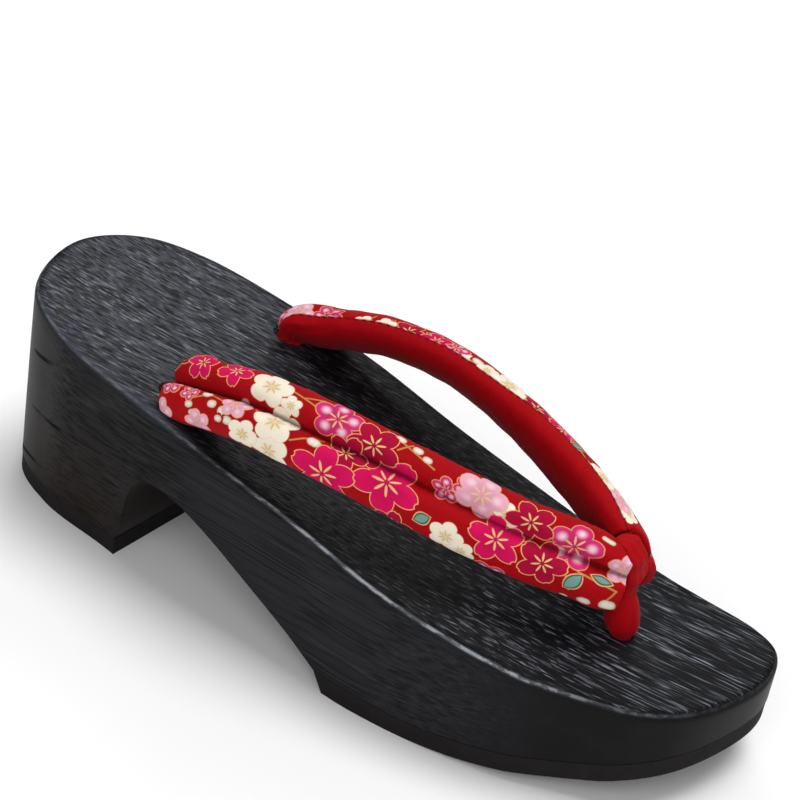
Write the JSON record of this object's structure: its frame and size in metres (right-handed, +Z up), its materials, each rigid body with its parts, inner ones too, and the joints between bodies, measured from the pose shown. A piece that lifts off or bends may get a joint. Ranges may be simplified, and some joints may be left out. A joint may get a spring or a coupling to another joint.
{
  "type": "geta sandal",
  "caption": "Women's geta sandal for the right foot: lacquered wooden body with a raised heel, rubber treads, padded flower-print thong and a cloth front loop.",
  "frame": {"origin": "centre of the whole shoe's box, on the floor that the treads stand on", "axes": "+X from heel to toe, +Y to the wearer's left (the inner side of this right shoe), +Z up"},
  "size_m": [0.2403, 0.0844, 0.0781],
  "materials": {
    "lacquered_wood": "brushed paulownia under black lacquer, satin, with raised grain",
    "tread_rubber": "matt black crepe rubber",
    "print_cloth": "red cotton with blossoms in pink, crimson and cream with gold outlines",
    "plain_cloth": "plain red crepe cloth"
  },
  "bodies": {
    "root": {"wood_body": "lacquered_wood", "heel_tread": "tread_rubber", "forefoot_tread": "tread_rubber", "thong_straps": "print_cloth", "front_loop": "plain_cloth"}
  },
  "joints": []
}
